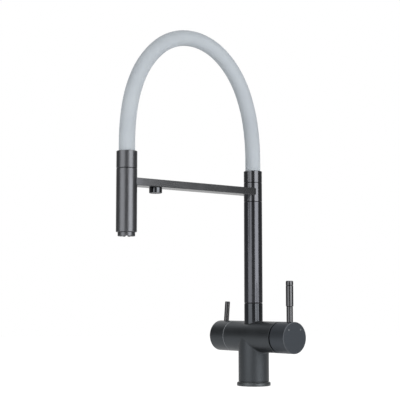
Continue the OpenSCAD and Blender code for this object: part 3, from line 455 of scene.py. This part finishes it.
def makeBaseRing(s):
    sealInner, sealOuter, sealDepth = s["seal"]
    profile = [
        (s["inner"], 0), (sealInner, 0), (sealInner, sealDepth), (sealOuter, sealDepth), (sealOuter, 0),
        (s["outer"] - s["foot"], 0), (s["outer"], s["foot"]),
    ]
    centre = s["outer"] - s["shoulder"]
    for i in range(s["shoulderSteps"] + 1):
        t = math.pi / 2 * i / s["shoulderSteps"]
        profile.append((centre + s["shoulder"] * math.cos(t),
                        s["shoulderLow"] + (s["grooveLow"] - s["shoulderLow"]) * math.sin(t)))
    grooveInner = s["grooveInner"]
    profile += [(grooveInner, s["grooveLow"]), (grooveInner, s["height"]), (s["inner"], s["height"])]

    bm = bmesh.new()
    rows = []
    for j in range(s["around"]):
        t = 2 * math.pi * j / s["around"]
        rows.append([bm.verts.new((r * math.cos(t) * mm, r * math.sin(t) * mm, z * mm)) for r, z in profile])
    for here, there in zip(rows, rows[1:] + rows[:1]):
        joinRows(bm, here, there)
    ring = makePiece("baseRing", bm, "footRing", s["smoothAngle"])
    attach(ring, "tap_base")
    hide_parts("base_ring")


makeBaseRing(ringSettings)


# The casting's corners are soft where its neck and its upright meet the crossbar. Each fillet
# is what a ball leaves that rolls along both cylinders, and is closed inside the metal.
filletSettings = {
    "crossbarRadius": 23.2,  # mm
    "crossbarHeight": 73.5,
    "sink": 0.8,
    "around": 96,
    "across": 6,
    "smoothAngle": 60,
    "neck": {"radius": 14.0, "ball": 1.1, "up": 1},
    "upright": {"radius": 23.1, "ball": 2.5, "up": -1},
}


def filletRow(s, upright, t):
    ball, up = upright["ball"], upright["up"]
    barBall = s["crossbarRadius"] + ball
    x = (upright["radius"] + ball) * math.cos(t)
    y = (upright["radius"] + ball) * math.sin(t)
    z = math.sqrt(max(barBall ** 2 - y ** 2, 0)) * up
    centre = Vector((x, y, z + s["crossbarHeight"]))
    toUpright = Vector((-math.cos(t), -math.sin(t), 0))
    toBar = Vector((0, -y / barBall, -z / barBall))
    row = [centre + ball * toUpright.slerp(toBar, i / s["across"]) for i in range(s["across"] + 1)]
    inside = s["sink"]
    row.append(row[-1] + toBar * inside)
    row.append(row[0] + toUpright * inside + toBar * inside)
    row.append(row[0] + toUpright * inside)
    return row


def makeFillet(name, s, upright):
    bm = bmesh.new()
    rows = []
    for j in range(s["around"]):
        row = filletRow(s, upright, 2 * math.pi * (j + 0.5) / s["around"])
        rows.append([bm.verts.new(point * mm) for point in row])
    for here, there in zip(rows, rows[1:] + rows[:1]):
        joinRows(bm, here, there)
    fillet = makePiece(name, bm, "casting", s["smoothAngle"])
    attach(fillet, "tap_base")


makeFillet("neckFillet", filletSettings, filletSettings["neck"])
makeFillet("uprightFillet", filletSettings, filletSettings["upright"])
print("base ring and fillets ready")


# Hose: a matt sleeve over a water hose. Both follow one arch of bends, with a short straight
# stretch into the fitting at each end.
hoseSettings = {
    "turns": [10, 16, 28, 36, 40, 26, 14, 10],  # degrees
    "radii": [305, 195, 130, 100, 95, 135, 185, 290],  # mm, scaled together to span the reach
    "reach": 236,
    "start": 342.8,  # height where the first bend starts
    "low": 314.0,  # height of the end in the column
    "end": 322.3,  # height of the end in the spray head
    "stepDegrees": 1.5,
    "straightSteps": 6,
    "smoothAngle": 35,
    "sleeve": {"outer": 23, "bore": 15.2, "sides": 48},  # diameters
    "water": {"outer": 15, "bore": 10, "sides": 32},
}


# Points on the way as (y, z, angle turned so far)
def hosePath(s):
    bends = []
    turned, across, rise = 0.0, 0.0, 0.0
    for turn, radius in zip(s["turns"], s["radii"]):
        bends.append((turned, turn, radius, across, rise))
        a, b = math.radians(turned), math.radians(turned + turn)
        across += radius * (math.cos(a) - math.cos(b))
        rise += radius * (math.sin(b) - math.sin(a))
        turned += turn
    scale = s["reach"] / across
    bottom = s["start"] + scale * rise

    straight = s["straightSteps"]
    points = [(0.0, s["low"] + (s["start"] - s["low"]) * i / straight, 0.0) for i in range(straight)]
    for fromAngle, turn, radius, y0, z0 in bends:
        steps = round(turn / s["stepDegrees"])
        for i in range(steps):
            a, b = math.radians(fromAngle), math.radians(fromAngle + turn * i / steps)
            y = scale * (y0 + radius * (math.cos(a) - math.cos(b)))
            z = s["start"] + scale * (z0 + radius * (math.sin(b) - math.sin(a)))
            points.append((-y, z, b))
    for i in range(straight):
        points.append((-s["reach"], bottom + (s["end"] - bottom) * i / (straight - 1), math.pi))
    return points


def hoseTube(name, path, size, finish, smoothAngle):
    bm = bmesh.new()
    sides = size["sides"]
    skins = []
    for r in (size["outer"] / 2, size["bore"] / 2):
        rows = []
        for y, z, turn in path:
            row = []
            for j in range(sides):
                t = 2 * math.pi * j / sides
                out = r * math.cos(t)
                place = (r * math.sin(t), y + out * math.cos(turn), z + out * math.sin(turn))
                row.append(bm.verts.new([length * mm for length in place]))
            rows.append(row)
        skins.append(rows)
    outer, bore = skins
    for rows in skins:
        for low, high in zip(rows, rows[1:]):
            joinRows(bm, low, high)
    for i in (0, -1):
        joinRows(bm, outer[i], bore[i])
    return makePiece(name, bm, finish, smoothAngle)


path = hosePath(hoseSettings)
for pieceName, cadName, size, finish, slot in (
    ("siliconeSleeve", "hose_sleeve", hoseSettings["sleeve"], "silicone", "grey_silicone"),
    ("waterHose", "inner_hose", hoseSettings["water"], "rubber", "black_rubber"),
):
    hose = hoseTube(pieceName, path, size, finish, hoseSettings["smoothAngle"])
    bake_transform(hose)
    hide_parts(cadName)
print("hose ready")


# Studio: a dim room with two tall softboxes in front and a faint one overhead. What lies
# behind the object is white, as its backdrop is, and so is the round table that it stands on.
studioSettings = {
    "softboxes": [
        # name, degrees round from the camera to the right, distance, height, width, tall, radiance
        ("rightSoftbox", 44.5, 1.7, 0.61, 1.44, 1.17, 4.5),
        ("leftSoftbox", -42, 1.7, 0.61, 1.5, 1.17, 2.5),
    ],
    "aimY": -0.08,  # m, towards the middle of the tap
    "top": {"place": (-0.5, 0.1, 1.9), "aim": (0, -0.1, 0.2), "size": 1.2, "radiance": 0.12},
    "roomDiffuse": 0.25,
    "backdropDiffuse": 2.0,
    # what the metal mirrors, from the room's floor line (0) to straight overhead (1)
    "wallLevels": [(0.0, 0.13), (0.2, 0.1), (0.4, 0.06), (0.6, 0.07), (0.8, 0.7), (1.0, 1.0)],
    "wallStrength": 2.5,
    "backdropLift": 0.55,
    "backdropFrom": 0.88,
    "backdropTo": 1.0,
}


def softbox(name, place, aim, width, tall, radiance):
    data = bpy.data.lights.new(name, "AREA")
    data.shape = "RECTANGLE"
    data.size = width
    data.size_y = tall
    data.energy = radiance * width * tall * math.pi
    lamp = bpy.data.objects.new(name, data)
    scene.collection.objects.link(lamp)
    lamp.location = place
    lamp.rotation_euler = (Vector(aim) - Vector(place)).to_track_quat("-Z", "Y").to_euler()


def makeLamps(s, cameraSide):
    for name, turn, distance, height, width, tall, radiance in s["softboxes"]:
        angle = cameraSide + math.radians(turn)
        place = (distance * math.cos(angle), distance * math.sin(angle), height)
        softbox(name, place, (0, s["aimY"], height), width, tall, radiance)
    top = s["top"]
    softbox("topSoftbox", top["place"], top["aim"], top["size"], top["size"], top["radiance"])


# Mirrored and refracted rays see the same white as the camera does, where there is any
def shinyRays(tree, rays):
    shiny = addNode(tree, "ShaderNodeMath", {
        0: rays.outputs["Is Glossy Ray"], 1: rays.outputs["Is Transmission Ray"],
    }, operation="MAXIMUM")
    return shiny.outputs["Value"]


def makeRoom(s, cameraSide):
    world = bpy.data.worlds.new("whiteRoom")
    scene.world = world
    world.use_nodes = True
    tree = world.node_tree
    tree.nodes.clear()
    rays = addNode(tree, "ShaderNodeLightPath")
    direction = addNode(tree, "ShaderNodeTexCoord")
    behind = addNode(tree, "ShaderNodeVectorMath", {
        0: direction.outputs["Generated"],
        1: (-math.cos(cameraSide), -math.sin(cameraSide), s["backdropLift"]),
    }, operation="DOT_PRODUCT")
    edges = {"Value": behind.outputs["Value"], "From Min": s["backdropFrom"], "From Max": s["backdropTo"]}
    backdrop = addNode(tree, "ShaderNodeMapRange", edges, interpolation_type="SMOOTHSTEP")
    fill = addNode(tree, "ShaderNodeMapRange", edges | {
        "To Min": s["roomDiffuse"], "To Max": s["backdropDiffuse"],
    }, interpolation_type="SMOOTHSTEP")
    height = addNode(tree, "ShaderNodeSeparateXYZ", {"Vector": direction.outputs["Generated"]})
    walls = addNode(tree, "ShaderNodeValToRGB", {"Fac": height.outputs["Z"]})
    setRamp(walls, [(z, grey(level)) for z, level in s["wallLevels"]])
    room = addNode(tree, "ShaderNodeMath", {
        0: walls.outputs["Color"], 1: s["wallStrength"],
    }, operation="MULTIPLY")
    around = addNode(tree, "ShaderNodeMath", {
        0: room.outputs["Value"], 1: backdrop.outputs["Result"],
    }, operation="MAXIMUM")
    mirrored = addNode(tree, "ShaderNodeMix", {
        "Factor": shinyRays(tree, rays), "A": fill.outputs["Result"], "B": around.outputs["Value"],
    })
    seen = addNode(tree, "ShaderNodeMix", {
        "Factor": rays.outputs["Is Camera Ray"], "A": mirrored.outputs["Result"], "B": 1.0,
    })
    background = addNode(tree, "ShaderNodeBackground", {
        "Color": (1, 1, 1, 1), "Strength": seen.outputs["Result"],
    })
    addNode(tree, "ShaderNodeOutputWorld", {"Surface": background.outputs["Background"]})


# Table: a disc of white paper that glows towards the camera and keeps the object's shadow
floorSettings = {
    "radius": 2.2,  # m, past it the metal mirrors the dim room
    "sides": 96,
    "drop": 0.0003,  # under the deck, so the two don't flicker
    "paper": "#f4f4f4",
    "glow": 1.27,
    "glowShare": 0.75,
}


def makeFloor(s):
    bm = bmesh.new()
    bmesh.ops.create_circle(bm, cap_ends=True, segments=s["sides"], radius=s["radius"])
    mesh = bpy.data.meshes.new("paleFloor")
    bm.to_mesh(mesh)
    bm.free()
    floor = bpy.data.objects.new("paleFloor", mesh)
    scene.collection.objects.link(floor)
    floor.location.z = -s["drop"]
    material, tree = newMaterial("whitePaperFloor")
    rays = addNode(tree, "ShaderNodeLightPath")
    paper = addNode(tree, "ShaderNodeBsdfDiffuse", {"Color": linear(s["paper"])})
    white = addNode(tree, "ShaderNodeEmission", {"Strength": s["glow"]})
    seen = addNode(tree, "ShaderNodeMath", {
        0: rays.outputs["Is Camera Ray"], 1: shinyRays(tree, rays),
    }, operation="MAXIMUM")
    share = addNode(tree, "ShaderNodeMath", {
        0: seen.outputs["Value"], 1: s["glowShare"],
    }, operation="MULTIPLY")
    mix = addNode(tree, "ShaderNodeMixShader", {
        "Fac": share.outputs["Value"], 1: paper.outputs["BSDF"], 2: white.outputs["Emission"],
    })
    addNode(tree, "ShaderNodeOutputMaterial", {"Surface": mix.outputs["Shader"]})
    mesh.materials.append(material)


towardsCamera = math.radians(cameraSettings["azimuth"] - 90)
makeLamps(studioSettings, towardsCamera)
makeRoom(studioSettings, towardsCamera)
makeFloor(floorSettings)
print("studio ready")
